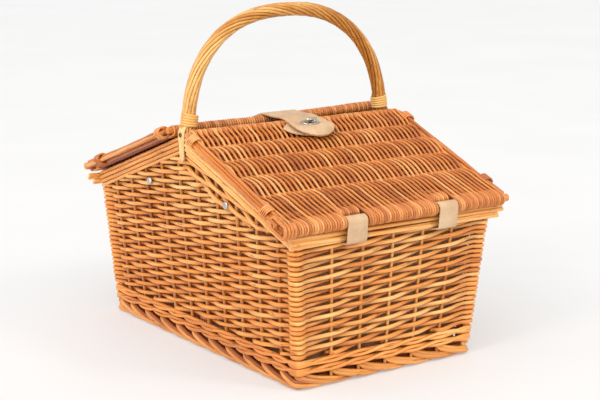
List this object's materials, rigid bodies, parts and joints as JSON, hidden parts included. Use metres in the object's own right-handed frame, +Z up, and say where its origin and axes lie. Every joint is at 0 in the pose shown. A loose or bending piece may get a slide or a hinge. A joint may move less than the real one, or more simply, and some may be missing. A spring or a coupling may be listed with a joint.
{
  "type": "picnic hamper",
  "caption": "Woven willow picnic hamper with gabled ends, sloping hinged lids, a fixed twisted bow handle and a leather strap closure.",
  "frame": {"origin": "on the ground under the middle of the base", "axes": "+Z up, +X along the ridge from the left gable to the right one, +Y from the front end wall to the back one"},
  "size_m": [0.3526, 0.496, 0.4454],
  "materials": {
    "wall_willow": "satin varnished willow",
    "rod_willow": "satin varnished willow rods",
    "lid_willow": "satin varnished reddish willow",
    "handle_willow": "satin varnished twisted willow",
    "pale_cane": "satin flat cane",
    "leather": "matt beige leather",
    "lining_cloth": "matt grey woven cloth",
    "nickel": "polished nickel",
    "bronze": "brown bronze nail"
  },
  "bodies": {
    "basket": {"wall_front": "wall_willow", "wall_back": "wall_willow", "wall_left": "wall_willow", "wall_right": "wall_willow", "base_panel": "wall_willow", "foot_border_front": "rod_willow", "foot_border_back": "rod_willow", "foot_border_left": "rod_willow", "foot_border_right": "rod_willow", "corner_post_front_left": "rod_willow", "corner_post_front_right": "rod_willow", "corner_post_back_left": "rod_willow", "corner_post_back_right": "rod_willow", "rim_front_lower_rod": "rod_willow", "rim_front_upper_rod": "rod_willow", "rim_back_lower_rod": "rod_willow", "rim_back_upper_rod": "rod_willow", "gable_rod_left_front_upper": "rod_willow", "gable_rod_left_front_lower": "rod_willow", "gable_rod_left_back_upper": "rod_willow", "gable_rod_left_back_lower": "rod_willow", "gable_rod_right_front_upper": "rod_willow", "gable_rod_right_front_lower": "rod_willow", "gable_rod_right_back_upper": "rod_willow", "gable_rod_right_back_lower": "rod_willow", "handle_core": "handle_willow", "handle_twist": "handle_willow", "handle_binding_left": "pale_cane", "handle_binding_right": "pale_cane", "hinge_loop_front_left": "leather", "hinge_loop_front_right": "leather", "hinge_loop_back_left": "leather", "hinge_loop_back_right": "leather", "liner": "lining_cloth", "liner_rivet_left_front": "nickel", "liner_rivet_left_back": "nickel", "liner_rivet_right_front": "nickel", "liner_rivet_right_back": "nickel", "handle_nail_left": "bronze", "handle_nail_right": "bronze"},
    "front_lid": {"front_lid_weave": "lid_willow", "front_lid_eave_stick": "rod_willow", "front_lid_ridge_stick": "lid_willow", "front_lid_side_rod_left": "rod_willow", "front_lid_side_rod_right": "rod_willow", "front_lid_lining": "lining_cloth", "clasp_patch": "leather", "clasp_plate": "nickel"},
    "clasp_knob": {"clasp_knob": "nickel"},
    "back_lid": {"back_lid_weave": "lid_willow", "back_lid_eave_stick": "rod_willow", "back_lid_ridge_stick": "lid_willow", "back_lid_side_rod_left": "rod_willow", "back_lid_side_rod_right": "rod_willow", "back_lid_lining": "lining_cloth", "strap_tail": "leather", "strap_rivet": "nickel"},
    "closure_flap": {"closure_strap": "leather", "strap_eyelet": "nickel"}
  },
  "joints": [
    {"name": "front_lid_hinge", "type": "hinge", "parent": "basket", "child": "front_lid", "pos_m": [0, -0.238, 0.207], "axis": [1, 0, 0], "range_deg": [0, 190], "deforming": ["closure_strap", "strap_eyelet"]},
    {"name": "back_lid_hinge", "type": "hinge", "parent": "basket", "child": "back_lid", "pos_m": [0, 0.238, 0.207], "axis": [-1, 0, 0], "range_deg": [0, 190]},
    {"name": "strap_lift", "type": "hinge", "parent": "back_lid", "child": "closure_flap", "pos_m": [0, 0.0155, 0.29871], "axis": [-1, 0, 0], "range_deg": [0, 150]},
    {"name": "clasp_turn", "type": "hinge", "parent": "front_lid", "child": "clasp_knob", "pos_m": [0, -0.05074, 0.29516], "axis": [0, -0.3502, 0.9367], "range_deg": [0, 90]}
  ]
}
